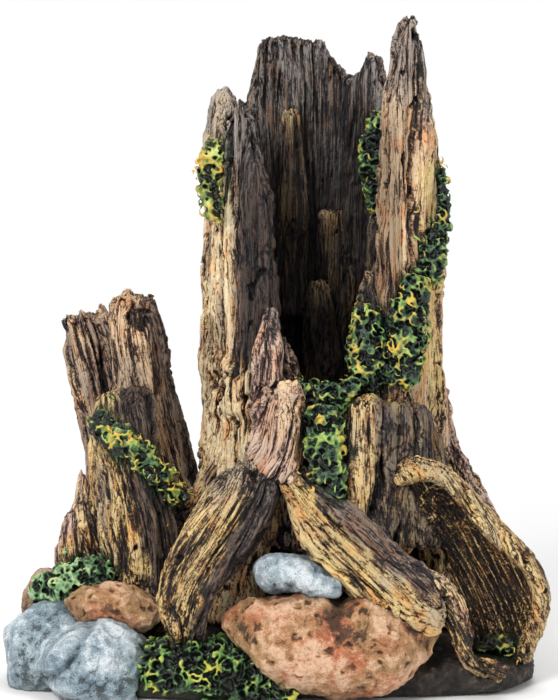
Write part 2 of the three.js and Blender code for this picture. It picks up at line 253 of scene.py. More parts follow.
def limb_grain(node, points):
    """Grain that follows a long piece: across is measured from a smooth spine, along is its length."""
    solid = points_of(NODES[node].data)
    centre = solid.mean(0)
    axis = np.linalg.svd(solid - centre, full_matrices=False)[2][0]
    axis = axis if axis[2] > 0 else -axis
    at = (solid - centre) @ axis
    fits = [np.polyfit(at, solid[:, k], 3) for k in range(3)]

    def spine(t):
        return np.column_stack([np.polyval(fit, t) for fit in fits])

    def slope(t):
        return np.column_stack([np.polyval(np.polyder(fit), t) for fit in fits])

    t = (points - centre) @ axis
    for _ in range(3):
        along = slope(t)
        t += np.sum((points - spine(t)) * along, axis=1) / np.sum(along**2, axis=1)
        t = np.clip(t, at.min() - SPINE_SPARE, at.max() + SPINE_SPARE)
    steps = np.linspace(at.min() - SPINE_SPARE, at.max() + SPINE_SPARE, SPINE_STEPS)
    lengths = np.concatenate(([0], np.cumsum(np.linalg.norm(np.diff(spine(steps), axis=0), axis=1))))
    along = unit(slope(t))
    side = unit(np.cross(np.array((0.0, -1.0, 0.12)), along))
    out = np.cross(side, along)
    offset = points - spine(t)
    length = np.interp(t, steps, lengths)
    grain = np.column_stack((np.sum(offset * side, 1), np.sum(offset * out, 1), length))
    to_tip = np.interp(at.max(), steps, lengths) - length
    return grain, to_tip, along


# ---- Carving the wood ----


def terrace(values):
    """Steps of height 1 with short steep rises between them."""
    low = np.floor(values)
    return low + ease(values - low, 0.36, 0.64)


def groove(values, width):
    """0 along the lines where values is zero, which wander like cracks in grain, and 1 beyond width."""
    return ease(np.abs(values), 0, width)


def split(flow, wide, long, width, seed):
    """0 in straight cracks that start and stop along the grain, and 1 between them."""
    line = 1 - groove(noise(flow / (wide, wide, long), seed), width)
    return 1 - line * ease(noise(flow / (1.6 * wide, 1.6 * wide, 0.3 * long), seed + 50), -0.4, -0.1)


def carve(grain, style, seed):
    """The carved surface's height in mm, and how far each point stands from groove (0) to ridge (1)."""
    scale = style["scale"]
    drift = np.column_stack([noise(grain / (11, 11, 50) + 31 * k, seed + k) for k in range(2)])
    flow = grain + seed * 13.7
    flow[:, :2] += 1.4 * drift

    def along_grain(wide, long, number):
        return noise(flow / (wide * scale, wide * scale, long * scale), seed + number)

    broad = along_grain(10, 34, 4) + 0.5 * along_grain(5, 16, 5)
    furrow = split(flow, 4.4 * scale, 90 * scale, 0.12, seed + 6)
    ridge = split(flow, 2.2 * scale, 60 * scale, 0.2, seed + 7)
    strand = split(flow, 1.1 * scale, 36 * scale, 0.34, seed + 8)
    round_backs = ease(np.abs(along_grain(3.4, 60, 14)), 0, 0.5)
    ledge = terrace(2.2 * along_grain(5.5, 24, 9))
    crumbly = ease(along_grain(9, 15, 10), 0.12, 0.5)
    crumbs = groove(noise(flow / (2.2, 2.2, 3.6), seed + 11), 0.3)
    grit = noise(flow / (0.9, 0.9, 1.6), seed + 13)
    knot = along_grain(3.0, 4.6, 12)
    pits = ease(knot, style["knots"], style["knots"] + 0.16)
    height = (
        style["broad"] * broad
        + style["ledges"] * ledge
        + style["furrows"] * (furrow - 0.85)
        + style["ridges"] * (ridge - 0.7 + 0.45 * (strand - 0.5) + 0.5 * (round_backs - 0.6))
        + style["crumbs"] * crumbly * (crumbs - 0.7)
        + 0.16 * grit
        - 1.5 * pits
    )
    relief = (0.25 + 0.75 * furrow) * (0.5 + 0.5 * ridge)
    relief *= (0.65 + 0.35 * strand) * (0.8 + 0.2 * round_backs)
    relief *= (1 - crumbly * 0.7 * (1 - crumbs)) * (1 - 0.85 * pits)
    relief += 0.12 * (ledge % 2 - 0.5) + 0.12 * grit
    return height, np.clip(relief, 0, 1)


# Styles of carving. scale stretches the whole pattern, knots is the noise above which a pit opens, and the
# rest are depths in mm.
WOOD = dict(scale=1.0, broad=0.9, ledges=0.8, furrows=1.4, ridges=0.7, crumbs=1.0, knots=0.62)
INNER = dict(WOOD, broad=0.8, ledges=0.5, furrows=1.7, ridges=0.8, crumbs=0.6, knots=0.8)
ROOT = dict(WOOD, broad=1.2, ledges=0.9, furrows=1.4, ridges=0.7, crumbs=0.5, knots=0.75)
SMALL = dict(WOOD, scale=0.75, broad=0.6, ledges=0.5, furrows=0.9, ridges=0.5, crumbs=0.8, knots=0.7)
RIM = dict(WOOD, broad=0.7, ledges=0.3, furrows=0.4, ridges=0.25, crumbs=0.2, knots=0.55)
STUB = dict(WOOD, broad=1.3, ledges=1.1, furrows=1.0, ridges=0.4, crumbs=0.9, knots=0.7)
LOG = dict(WOOD, broad=1.0, ledges=0.8, furrows=1.0, ridges=0.4, crumbs=0.6)
PITTED = dict(WOOD, knots=0.48)
RIVEN = dict(WOOD, broad=0.5, ledges=0.6, furrows=2.2, ridges=1.2, crumbs=0.3, knots=0.8)

# For each piece: its style, its voxel in mm, how often its mesh is halved, and how long its splinters are.
STYLES = {
    "trunk_back_wall": (INNER, 1.7, 2, 0.35),
    "trunk_left_wall": (PITTED, 1.6, 2, 0.7),
    "trunk_right_wall": (PITTED, 1.6, 2, 0.7),
    "trunk_front_apron": (INNER, 1.4, 2, 1.0),
    "root_collar": (INNER, 1.4, 2, 1.0),
    "left_root": (ROOT, 1.5, 2, 0.5),
    "right_root": (ROOT, 1.5, 2, 0.5),
    "left_buttress": (INNER, 1.5, 2, 0.5),
    "right_buttress": (ROOT, 1.5, 2, 0.5),
    "arch_root": (RIM, 1.4, 2, 0.3),
    "snag_tall_log": (LOG, 1.6, 2, 0.9),
    "snag_back_log": (RIVEN, 1.5, 2, 1.4),
    "snag_front_log": (LOG, 1.6, 2, 0.7),
    "front_stub": (STUB, 0.9, 1, 1.0),
}
SMALL_STYLE = (SMALL, 0.9, 1, 1.0)

# How much more pale paint was dragged over a piece, or how much less where it is below 0.
PALE = {
    "trunk_back_wall": -0.06,
    "trunk_left_wall": 0.3,
    "trunk_right_wall": 0.22,
    "left_root": -0.05,
    "right_root": 0.44,
    "root_toe": -0.16,
    "front_stub": 0.18,
    "front_splinter": 0.05,
    "snag_back_log": 0.24,
    "arch_root": -0.06,
    "snag_tall_log": 0.18,
    "snag_front_log": 0.06,
}
# Painted shade on a piece's right-hand side, turned from the light: how much of it, and the mm right of the
# spine where it starts.
PAINTED_SHADE_SIDE = {
    "left_root": (0.75, 0.5),
    "right_root": (0.3, 1.0),
    "snag_tall_log": (0.55, 2.0),
    "snag_front_log": (0.7, -3.0),
}
# Pieces with a lit side and a side in painted shade: the pale paint keeps to the lit side.
TWO_SIDED = ("trunk_left_wall", *PAINTED_SHADE_SIDE)

SPLINTER_REACH = 13  # mm below a broken edge where splintering starts
SPLINTER_LENGTH = 1.5  # mm, for a piece whose splinters are 1.0 long
CARVING_RISE = 0.35  # mm that the whole carved surface stands out
SEAM_SWELL = 0.9  # mm that wood swells where it meets its neighbour
SEAM_REACH = 3.0  # mm from the neighbour where the swelling starts
EDGE_REACH = 6  # mm below a broken edge where its painted highlight, paler paint where the light catches it, starts
MOSS_REACH = 5.0  # mm from moss where its green starts to stain
GROUND = 0.15  # mm above the floor, the lowest that a carved point may lie
BURR_HEIGHT = 2.6  # mm that the left wall's broken lumps stand out
HOLLOW_DEPTH = 2.2  # mm, of the rotted hollow at the tall snag's broken end

# Where the painted colours and the painted shade change. A share of the trunk's radius is below 0 on the
# left-hand side.
HOLLOW_EDGE = (0.86, 0.95)  # share of the radius where the hollow's wash and painted shade end
LEFT_INNER_SIDE = (-0.76, -0.66)  # share of the radius where the left wall's inner side, facing into the hollow, has its full wash and painted shade
LEFT_PATCH_EDGE = (-0.82, -0.7)  # share of the radius where the left wall turns to its second, darker colours, painted shade on its inner side
RIGHT_INNER_SIDE = (0.56, 0.66)  # share of the radius where the painted shade beside the hollow on the right wall's side ends
RIGHT_PATCH_EDGE = 0.78  # share of the radius where the right wall turns to its first colours
HOLLOW_TOP = (128, 172)  # mm above the floor where the hollow's wash and painted shade thin out
SPIRE_TOP = (160, 172)  # mm above the floor where the spire's tip is stained
ABOVE_ROOTS = (84, 92)  # mm above the floor where the left wall's column begins
FOOT = (2, 22)  # mm above the floor where the darkening at the foot thins out
COLLAR_EDGE = (7, 11)  # mm from the collar's left end where its pale edge gives way to the dark sheet
GREY_FROM = {"trunk_left_wall": 136, "trunk_right_wall": 150}  # mm above the floor


def carve_wood(node, seed):
    """Carves one wooden piece out of its CAD solid, and notes on its points how it is painted."""
    style, voxel, levels, splinter = STYLES.get(node, SMALL_STYLE)
    piece = body_of(node, voxel, 10, levels)
    mesh = piece.data
    points, out = points_of(mesh), normals_of(mesh)
    read_grain = round_grain if node in ROUND_THE_TRUNK else limb_grain
    grain, to_tip, along = sheet_grain(points) if node == "arch_root" else read_grain(node, points)
    height, relief = carve(grain, style, seed)
    if node == "arch_root":
        height, relief = line_the_arch(points, out, grain, height, relief)

    # Broken edges stand in splinters: long teeth that thin out towards the top.
    near_tip = ease(SPLINTER_REACH - to_tip, 0, SPLINTER_REACH)
    teeth = noise(grain / (2.6, 3.4, 60) + 5, seed + 21) + 0.5 * noise(grain / (1.2, 1.7, 40), seed + 22)
    side_wear = noise(grain / (6, 40, 9), seed + 23) * near_tip

    if node == "trunk_left_wall":
        band, lump = burrs(points, grain, seed)
        height += band * (BURR_HEIGHT * lump - 1.0)
        relief = relief * (1 - 0.85 * band * (1 - lump)) + 0.15 * band * lump
    if node == "snag_tall_log":
        hollow = broken_hollow(points, out)
        height -= HOLLOW_DEPTH * hollow
        relief *= 1 - 0.9 * hollow

    # Wood swells a little where it was bonded to a neighbour, which closes the seam.
    others = tree_of([other for other in WOOD_NODES if other != node])
    seam = 1 - ease(gap_to(others, points, SEAM_REACH), 0, SEAM_REACH)
    push = height + CARVING_RISE + SEAM_SWELL * seam - 1.1 * near_tip + 0.8 * side_wear
    points += out * push[:, None] + along * (splinter * SPLINTER_LENGTH * teeth * near_tip)[:, None]
    points[:, 2] = np.maximum(points[:, 2], GROUND)
    move_points(mesh, points)

    patch = patches_of(node, grain, points, seed)
    # On pieces with a shaded side, the pale paint is held back where the painted shade falls.
    pale = PALE.get(node, 0) * (1 - 0.8 * patch * (node in TWO_SIDED))
    store(mesh, "grain", grain)
    store(mesh, "relief", relief + pale)
    # Painted highlight: paler paint near broken top edges, where the light catches them.
    store(mesh, "edge", ease(EDGE_REACH - to_tip, 0, EDGE_REACH))
    store(mesh, "patch", patch)
    store(mesh, "green", moss_stain(points))
    # Dark wash and painted shade, from shade_of.
    store(mesh, "wash", shade_of(node, points, grain, to_tip))
    store(mesh, "grey", weathering_of(node, grain, points))
    finish_piece(piece, node, paint_of(node))


def burrs(points, grain, seed):
    """The left wall swells above the roots in a band of broken lumps: gives the band, and its lumps."""
    drift = 3 * noise(points / 5, seed + 26)
    band = ease(points[:, 2] + drift, 70, 76) * (1 - ease(points[:, 2] - drift, 86, 92))
    lump = ease(noise(grain / (5, 5, 8), seed + 25) + 0.4 * noise(grain / (2, 2, 3), seed + 27), -0.35, 0.05)
    return band * (1 - ease(points[:, 1], -4, 4)), lump


def broken_hollow(points, out):
    """1 in the rotted hollow on the front of the tall snag's broken end, and 0 beyond its ragged edge."""
    low, high = box_of("snag_tall_log")
    middle = np.array((low[0] + 0.34 * (high[0] - low[0]), 0, high[2] - 8))
    away = np.linalg.norm((points - middle)[:, (0, 2)] / (3.4, 4.2), axis=1)
    away += 0.4 * noise(points / 1.6, 91)
    return (1 - ease(away, 0.7, 1.1)) * ease(-out[:, 1], 0.1, 0.5)


LINE_SPACING = 1.7  # mm between the raised lines inside the arch root
NO_EDGE = 99.0  # mm to a broken edge, for a piece that has none


def sheet_grain(points):
    """Grain of the arch root: it runs down and outwards, leaning over more towards the top."""
    lean, sweep = 0.3, 0.0028
    x, y, z = points.T
    grain = np.column_stack((0.93 * x + lean * z + sweep * z**2, y, lean * x - 0.93 * z))
    along = unit(np.column_stack((lean + 2 * sweep * z, 0 * z, -0.93 + 0 * z)))
    return grain, np.full(len(points), NO_EDGE), along


def line_the_arch(points, out, grain, height, relief):
    """Inside the arch root the wood is dark and ruled with thin raised lines, under a smooth pale rim."""
    front = box_of("arch_root")[0][1]
    facing = out @ unit(np.array((-0.5, -0.75, -0.3)))
    panel = ease(facing, 0.1, 0.4) * ease(points[:, 1], front + 3.5, front + 6)
    across = grain[:, 0] + 0.9 * noise(grain / (6, 6, 24), 77)
    lines = 1 - groove(np.sin(np.pi * across / LINE_SPACING), 0.5)
    lines *= ease(noise(grain / (1.2, 5, 9), 79), -0.55, -0.15)
    whorls = 1 - groove(noise(points / (5, 5, 4), 78), 0.12)
    top = ease(points[:, 2] + 3 * noise(points / 4, 80), 40, 50)
    lines = lines * (1 - top) + whorls * top
    height = height * (1 - 0.75 * panel) + panel * (0.6 * lines - 1.0)
    rim = np.clip(0.4 + 0.6 * relief, 0, 1)
    return height, rim * (1 - panel) + (0.08 + 0.9 * lines) * panel


def shade_of(node, points, grain, to_tip):
    """How much darkening is laid on: dark wash and painted shade, most inside the hollow trunk, painted shade
    on shaded sides, and darker low down towards the floor.
    """
    offset = (points[:, :2] - TRUNK_AXIS) / TRUNK_RADII
    # Dark wash and painted shade inside the hollow trunk.
    inside = 1 - ease(np.linalg.norm(offset, axis=1), *HOLLOW_EDGE)
    # The left wall's inner side gets dark wash and painted shade too.
    if node == "trunk_left_wall":
        inner_side = ease(offset[:, 0], *LEFT_INNER_SIDE) * ease(points[:, 2], *ABOVE_ROOTS)
        inside = np.maximum(inside, inner_side)
    height = points[:, 2] + 4 * noise(points / (5, 5, 16), 62)
    if node in WALLS:
        # Deeper in the hollow the darkening grows: painted shade with the wash.
        deep = 1 - ease(height, *HOLLOW_TOP)
        hollow = inside * (0.3 + 0.7 * deep)
    else:
        lit_tip = ease(9 - to_tip, 0, 9) * ease(height, 60, 130)
        hollow = inside * (0.97 - 0.7 * lit_tip) * ease(height, 20, 60)
    if node == "trunk_right_wall":
        spire_tip = 0.2 * ease(height, *SPIRE_TOP)
        # Painted shade down the right wall's side beside the hollow.
        beside_hollow = 0.6 * (1 - ease(offset[:, 0], *RIGHT_INNER_SIDE)) * (1 - ease(height, 150, 168))
        hollow = np.maximum.reduce((hollow, spire_tip, beside_hollow))
    # Darker towards the floor.
    foot = 0.5 * (1 - ease(points[:, 2], *FOOT))
    # Painted shade down the right-hand side of some limbs.
    side = PAINTED_SHADE_SIDE.get(node, (0, 0))[0] * right_hand_side(node, grain, points)
    if node == "root_collar":
        side = 0.7 * ease(from_left_end(node, points) + 2 * noise(points / 5, 64), *COLLAR_EDGE)
    return np.clip(np.maximum.reduce((hollow, foot, side)), 0, 1)


def from_left_end(node, points):
    """Distance in mm of each point from the left end of its own solid."""
    return points[:, 0] - box_of(node)[0][0]


def right_hand_side(node, grain, points):
    """1 on the right-hand side of a limb that has one, where painted shade is laid, and 0 on its left."""
    start = PAINTED_SHADE_SIDE.get(node, (0, 0))[1]
    return ease(-grain[:, 0] + 2.5 * noise(points / 5, 63) - start, 0, 3)


def patches_of(node, grain, points, seed):
    """Which of the piece's two sets of colours shows: 0 the first, 1 the second, which is painted shade on a
    shaded right-hand side.
    """
    mottle = noise(grain / (7, 7, 22), seed + 31) + 0.6 * noise(grain / (2.5, 2.5, 9), seed + 32)
    patch = ease(mottle, -0.3, 0.3)
    if node in PAINTED_SHADE_SIDE:
        # The right-hand side takes the second, darker colours as painted shade.
        patch = np.maximum(0.35 * patch, right_hand_side(node, grain, points))
    if node == "root_collar":
        patch = np.maximum(patch, 1 - ease(from_left_end(node, points), *COLLAR_EDGE))
    past_axis = points[:, 0] - TRUNK_AXIS[0]
    if node == "trunk_left_wall":
        # The left wall's inner side, facing into the hollow, takes the second, darker colours as painted
        # shade.
        inner_side = ease(past_axis / TRUNK_RADII[0], *LEFT_PATCH_EDGE) * ease(points[:, 2], *ABOVE_ROOTS)
        patch = np.maximum(0.75 * patch * ease(points[:, 2], 60, 110), inner_side)
    if node == "trunk_right_wall":
        inner_side = ease(RIGHT_PATCH_EDGE * TRUNK_RADII[0] - past_axis, -1.5, 1.5)
        patch = np.maximum(patch, inner_side)
    return patch


def weathering_of(node, grain, points):
    """How grey the wood has weathered: most at the tops of the trunk's two side walls."""
    mottle = noise(grain / (6, 6, 14), 61)
    if node in GREY_FROM:
        start = GREY_FROM[node]
        return ease(points[:, 2] + 9 * mottle, start, start + 16) * (0.75 + 0.25 * mottle)
    if node == "left_root":
        return 0.7 * ease(points[:, 2] + 3 * mottle, 50, 60)
    if node == "root_collar":
        from_crest = box_of(node)[1][2] - points[:, 2] - 3 * mottle
        return 0.4 * ease(from_crest, 2, 5) * ease(mottle, -0.4, 0.3)
    return 0.35 * ease(mottle, 0.1, 0.5)


# ---- Paint ----


def colour(code):
    """A written sRGB colour as Blender's linear red, green, blue and alpha."""
    parts = (int(code[i : i + 2], 16) / 255 for i in (1, 3, 5))
    return tuple(p / 12.92 if p <= 0.04045 else ((p + 0.055) / 1.055) ** 2.4 for p in parts) + (1.0,)


class Paint:
    """A material made of nodes, added one at a time."""

    def __init__(self, name):
        self.material = bpy.data.materials.new(name)
        self.material.use_nodes = True
        self.tree = self.material.node_tree
        self.tree.nodes.clear()

    def add(self, kind, sockets=None, **settings):
        node = self.tree.nodes.new("ShaderNode" + kind)
        for name, value in settings.items():
            setattr(node, name, value)
        for key, value in (sockets or {}).items():
            if isinstance(value, bpy.types.NodeSocket):
                self.tree.links.new(value, node.inputs[key])
            else:
                node.inputs[key].default_value = value
        return node

    def stored(self, name, vector=False):
        node = self.add("Attribute", attribute_name=name, attribute_type="GEOMETRY")
        return node.outputs["Vector" if vector else "Fac"]

    def maths(self, operation, first, second=0.0, clamp=False):
        sockets = {0: first, 1: second}
        return self.add("Math", sockets, operation=operation, use_clamp=clamp).outputs[0]

    def around(self, fac, strength):
        """fac, which is about 0.5, turned into a swing of that strength about 0."""
        return self.maths("MULTIPLY", self.maths("SUBTRACT", fac, 0.5), strength)

    def stretched(self, vector, scale):
        return self.add("Mapping", {"Vector": vector, "Scale": scale}).outputs[0]

    def noise(self, vector, scale, detail=4.0, rough=0.6):
        sockets = {"Vector": vector, "Scale": scale, "Detail": detail, "Roughness": rough}
        return self.add("TexNoise", sockets).outputs["Fac"]

    def cracks(self, vector, scale, width):
        """0 along thin wandering lines and 1 away from them."""
        off = self.maths("ABSOLUTE", self.maths("SUBTRACT", self.noise(vector, scale, 2.0, 0.5), 0.5))
        return self.maths("DIVIDE", off, width, clamp=True)

    def ramp(self, fac, stops):
        node = self.add("ValToRGB", {0: fac})
        elements = node.color_ramp.elements
        while len(elements) < len(stops):
            elements.new(0.5)
        for element, (place, code) in zip(elements, stops):
            element.position = place
            element.color = colour(code)
        return node.outputs[0]

    def mix(self, amount, first, second, blend="MIX"):
        node = self.add("Mix", {0: amount}, data_type="RGBA", blend_type=blend)
        for index, value in ((6, first), (7, second)):
            if isinstance(value, bpy.types.NodeSocket):
                self.tree.links.new(value, node.inputs[index])
            else:
                node.inputs[index].default_value = colour(value)
        return node.outputs[2]

    def finish(self, base, roughness, height, depth, specular=0.45):
        """Joins colour, roughness and a bump of depth mm to the surface."""
        sockets = {"Height": height, "Strength": 1.0, "Distance": depth * MM}
        bump = self.add("Bump", sockets).outputs[0]
        sockets = {"Base Color": base, "Roughness": roughness, "Normal": bump}
        sockets["Specular IOR Level"] = specular
        surface = self.add("BsdfPrincipled", sockets).outputs[0]
        self.add("OutputMaterial", {"Surface": surface})
        return self.material


def open_to_light(paint, reach):
    """How open a point is to light, from ambient occlusion: 1 in the open and 0 deep in a corner, reach in mm.
    Colour darkened by it is painted shade.
    """
    return paint.add("AmbientOcclusion", {"Distance": reach * MM}, samples=8).outputs["AO"]


WASH_AND_SHADE = "#150f12"
RUST = "#ffc58c"
MOSS_STAIN = "#22391b"
RELIEF_STEPS = (0.08, 0.26, 0.5, 0.72, 0.94)  # levels, from groove to ridge, of a set's five colours


def wood_marks(paint, grain):
    """Fibres, hairs and grit, each about 0.5, and splits: 0 in a crack and about 1 away from it."""
    fibre = paint.noise(paint.stretched(grain, (1.0, 1.0, 0.07)), 1.3, 5.0, 0.65)
    hair = paint.noise(paint.stretched(grain, (1.0, 1.0, 0.16)), 2.7, 3.0, 0.75)
    grit = paint.noise(grain, 1.7, 5.0, 0.75)
    cracks = paint.cracks(paint.stretched(grain, (1.0, 1.0, 0.05)), 0.5, 0.035)
    checks = paint.cracks(paint.stretched(grain, (1.0, 1.0, 0.06)), 1.1, 0.05)
    cracks = paint.maths("MULTIPLY", cracks, 0.6)
    split = paint.maths("ADD", cracks, paint.maths("MULTIPLY", checks, 0.45))
    return fibre, hair, grit, split


def wood_level(paint, grain, marks):
    """0 where the dark wash was left and 1 where the palest paint caught, from the carving and the marks, with
    a painted highlight on broken top edges and painted shade in corners.
    """
    fibre, hair, grit, split = marks
    level = paint.maths("ADD", paint.stored("relief"), paint.maths("SUBTRACT", split, 0.85))
    mottle = paint.noise(paint.stretched(grain, (1.0, 1.0, 0.4)), 0.13, 3.0, 0.6)
    for mark, strength in ((fibre, 1.1), (hair, 2.8), (grit, 2.3), (mottle, 1.5)):
        level = paint.maths("ADD", level, paint.around(mark, strength))
    # Painted highlight: paler on broken top edges, where the light catches them.
    level = paint.maths("ADD", level, paint.maths("MULTIPLY", paint.stored("edge"), 0.12))
    # Painted shade: darker in corners and where pieces meet.
    shade = paint.maths("MULTIPLY", paint.maths("SUBTRACT", 1.0, open_to_light(paint, 4.0)), 0.8)
    return paint.maths("SUBTRACT", level, shade, clamp=True)


def wood_paint(name, first, second):
    """Painted wood: a dark wash left in the grooves and paler paint dragged over the ridges, with painted
    shade in corners, in the hollow and on shaded sides.

    first and second are two sets of five colours, from groove to ridge, that take turns over the surface; on a
    piece with a shaded side, the second set is its painted shade.
    """
    paint = Paint(name)
    grain = paint.stored("grain", vector=True)
    marks = wood_marks(paint, grain)
    fibre, hair, grit, split = marks
    level = wood_level(paint, grain, marks)
    colours = [paint.ramp(level, list(zip(RELIEF_STEPS, codes))) for codes in (first, second, GREY)]
    base = paint.mix(paint.stored("patch"), colours[0], colours[1])
    base = paint.mix(paint.stored("grey"), base, colours[2])
    streaks = paint.noise(paint.stretched(grain, (1.0, 1.0, 0.3)), 0.32, 4.0, 0.65)
    rust = paint.ramp(streaks, [(0.5, "#000000"), (0.62, "#ffffff")])
    fresh = paint.maths("SUBTRACT", 1.0, paint.stored("grey"), clamp=True)
    rust = paint.maths("MULTIPLY", paint.maths("MULTIPLY", rust, fresh), 0.6)
    base = paint.mix(rust, base, RUST, "MULTIPLY")
    mossy = paint.maths("MULTIPLY", paint.maths("SUBTRACT", paint.stored("green"), 0.35, clamp=True), 0.8)
    base = paint.mix(mossy, base, MOSS_STAIN)
    # Dark wash and painted shade: the stored darkening mixes the colour towards a near-black.
    dark = paint.maths("MULTIPLY", paint.stored("wash"), 0.95)
    base = paint.mix(dark, base, paint.mix(0.13, WASH_AND_SHADE, base))
    rough = paint.maths("ADD", paint.maths("MULTIPLY", level, 0.12), 0.4)
    height = paint.maths("ADD", fibre, paint.maths("MULTIPLY", grit, 0.6))
    height = paint.maths("ADD", height, paint.maths("MULTIPLY", hair, 0.7))
    height = paint.maths("ADD", height, split)
    return paint.finish(base, rough, height, 0.6)


OCHRE = ("#17100e", "#3f2f25", "#7f6240", "#b9945e", "#e4ca94")
TAN = ("#19110f", "#422f27", "#7f5f47", "#b88f6c", "#e8c9a2")
PINK = ("#1a1213", "#473431", "#80645a", "#ae8b7b", "#dcbfa9")
GREY = ("#131011", "#2e2827", "#4e4745", "#776f6b", "#aaa29d")
PURPLE = ("#100b0e", "#281e20", "#443533", "#6e5850", "#a68e7a")
STRAW = ("#1a1311", "#563f2d", "#ac8757", "#e2c08a", "#fae6be")
YELLOW = ("#18110d", "#443121", "#8a6b3f", "#c8a25f", "#efd596")

bark_paint = wood_paint("bark_paint", OCHRE, PINK)
tan_paint = wood_paint("tan_paint", YELLOW, TAN)
limb_paint = wood_paint("limb_paint", YELLOW, PURPLE)
left_wall_paint = wood_paint("left_wall_paint", STRAW, PURPLE)
hollow_paint = wood_paint("hollow_paint", GREY, PURPLE)
riven_paint = wood_paint("riven_paint", TAN, PURPLE)
dark_paint = wood_paint("dark_wood_paint", PURPLE, OCHRE)
arch_paint = wood_paint("arch_paint", YELLOW, OCHRE)
snag_paint = wood_paint("snag_paint", TAN, PINK)
mauve_paint = wood_paint("mauve_paint", PINK, PURPLE)

WOOD_PAINTS = {
    "trunk_back_wall": hollow_paint,
    "trunk_left_wall": left_wall_paint,
    "snag_back_log": riven_paint,
    "front_splinter": mauve_paint,
    "inner_left_stub": mauve_paint,
    "snag_front_log": limb_paint,
    "trunk_right_wall": tan_paint,
    "left_root": limb_paint,
    "right_root": limb_paint,
    "root_toe": tan_paint,
    "arch_root": arch_paint,
    "snag_tall_log": riven_paint,
    "front_stub": snag_paint,
    "root_collar": dark_paint,
    "left_buttress": dark_paint,
    "trunk_front_apron": dark_paint,
}


def paint_of(node):
    slot_paint = dark_paint if SLOT_OF[node] == "dark_wood" else bark_paint
    return WOOD_PAINTS.get(node, slot_paint)


# ---- Stones ----


def carve_stone(node, seed, material, lumps, facets, pits, crease=None):
    """Weathered stone: lumps and facets in mm, grit, cracks, and pits in that share of the places for them.

    crease(points) gives a depth in mm to add, below 0 for a dent.
    """
    piece = body_of(node, 1.1, 8, 2)
    mesh = piece.data
    points, out = points_of(mesh), normals_of(mesh)
    broad = noise(points / 9, seed) + 0.5 * noise(points / 4.5, seed + 1)
    chips = terrace(2.2 * noise(points / 6, seed + 11))
    grit = noise(points / 2.2, seed + 2) + 0.6 * noise(points / 1.0, seed + 3)
    bend = np.column_stack([noise(points / 5 + 9 * k, seed + 5 + k) for k in range(3)])
    ragged = np.column_stack([noise(points / 1.5 + 9 * k, seed + 14 + k) for k in range(3)])
    near, _, worn = cells((points + 1.1 * ragged) / 3.6, seed + 4)
    pit = (1 - ease(near, 0.08, 0.42)) * (worn < pits)
    split = noise((points + 1.2 * bend) / 12, seed + 9)
    crack = (1 - groove(split, 0.05)) * ease(noise(points / 10, seed + 10), 0.05, 0.25)
    ridges = 0.4 - np.abs(noise(points / 15, seed + 13))
    push = lumps * (broad + 0.4 * chips) + facets * ridges + 0.3 * grit - 0.7 * pit - 0.3 * crack
    valley = crease(points) if crease else np.zeros(len(points))
    points += out * (push + valley)[:, None]
    points[:, 2] = np.maximum(points[:, 2], GROUND)
    move_points(mesh, points)
    relief = 0.44 + 0.3 * broad + 0.6 * ridges + 0.35 * grit + 0.12 * (chips % 2)
    relief += 0.2 * valley - 0.8 * pit - 0.25 * crack
    store(mesh, "grain", points)
    store(mesh, "relief", np.clip(relief, 0, 1))
    store(mesh, "patch", ease(noise(points / 10, seed + 12), -0.4, 0.4))
    store(mesh, "green", moss_stain(points))
    finish_piece(piece, node, material)


def stone_paint(name, hollows, body, patches, lights, moss, speckle=1.8):
    """Painted stone: two body colours in patches, dark hollows and specks, pale paint on what stands out, and
    painted shade in corners.
    """
    paint = Paint(name)
    place = paint.stored("grain", vector=True)
    mottle = paint.noise(place, 0.2, 5.0, 0.6)
    broad = paint.noise(place, 0.07, 2.0, 0.5)
    grit = paint.noise(place, 2.4, 6.0, 0.75)
    specks = paint.noise(place, 2.2, 3.0, 0.7)
    base = paint.mix(paint.stored("patch"), body, patches)
    blotch = paint.ramp(mottle, [(0.42, "#000000"), (0.62, "#ffffff")])
    base = paint.mix(paint.maths("MULTIPLY", blotch, 0.8), base, patches)
    fine = paint.noise(place, 2.6, 3.0, 0.7)
    relief = paint.maths("ADD", paint.stored("relief"), paint.around(grit, speckle))
    relief = paint.maths("ADD", relief, paint.around(fine, speckle))
    relief = paint.maths("ADD", relief, paint.around(broad, 1.5))
    base = paint.mix(paint.ramp(relief, [(0.55, "#000000"), (1.0, "#ffffff")]), base, lights)
    dark = paint.ramp(relief, [(0.1, "#ffffff"), (0.4, "#000000")])
    base = paint.mix(paint.maths("MULTIPLY", dark, 0.85), base, hollows)
    spots = paint.ramp(specks, [(0.34, "#ffffff"), (0.4, "#000000")])
    base = paint.mix(paint.maths("MULTIPLY", spots, 0.8), base, hollows)
    # Painted shade: darker towards the hollows colour in corners and where pieces meet.
    corner = paint.maths("SUBTRACT", 1.0, open_to_light(paint, 5.0))
    base = paint.mix(paint.maths("MULTIPLY", corner, 0.8), base, hollows)
    base = paint.mix(paint.maths("MULTIPLY", paint.stored("green"), 0.5), base, moss)
    height = paint.maths("ADD", grit, paint.maths("MULTIPLY", specks, 0.5))
    return paint.finish(base, 0.46, height, 0.6, 0.5)


orange_paint = stone_paint("orange_stone_paint", "#33241d", "#c8764e", "#b58a5c", "#f0c6a4", "#6b7038", 1.1)
blue_paint = stone_paint("blue_stone_paint", "#2c3135", "#869dad", "#aabdc5", "#ebf3fa", "#4a6250", 1.3)
tan_stone_paint = stone_paint("tan_stone_paint", "#3d3026", "#a98a6c", "#a57a5b", "#d8c2a8", "#6b7038")

boulder_low, boulder_high = box_of("orange_boulder")
boulder_middle = (boulder_low + boulder_high) / 2


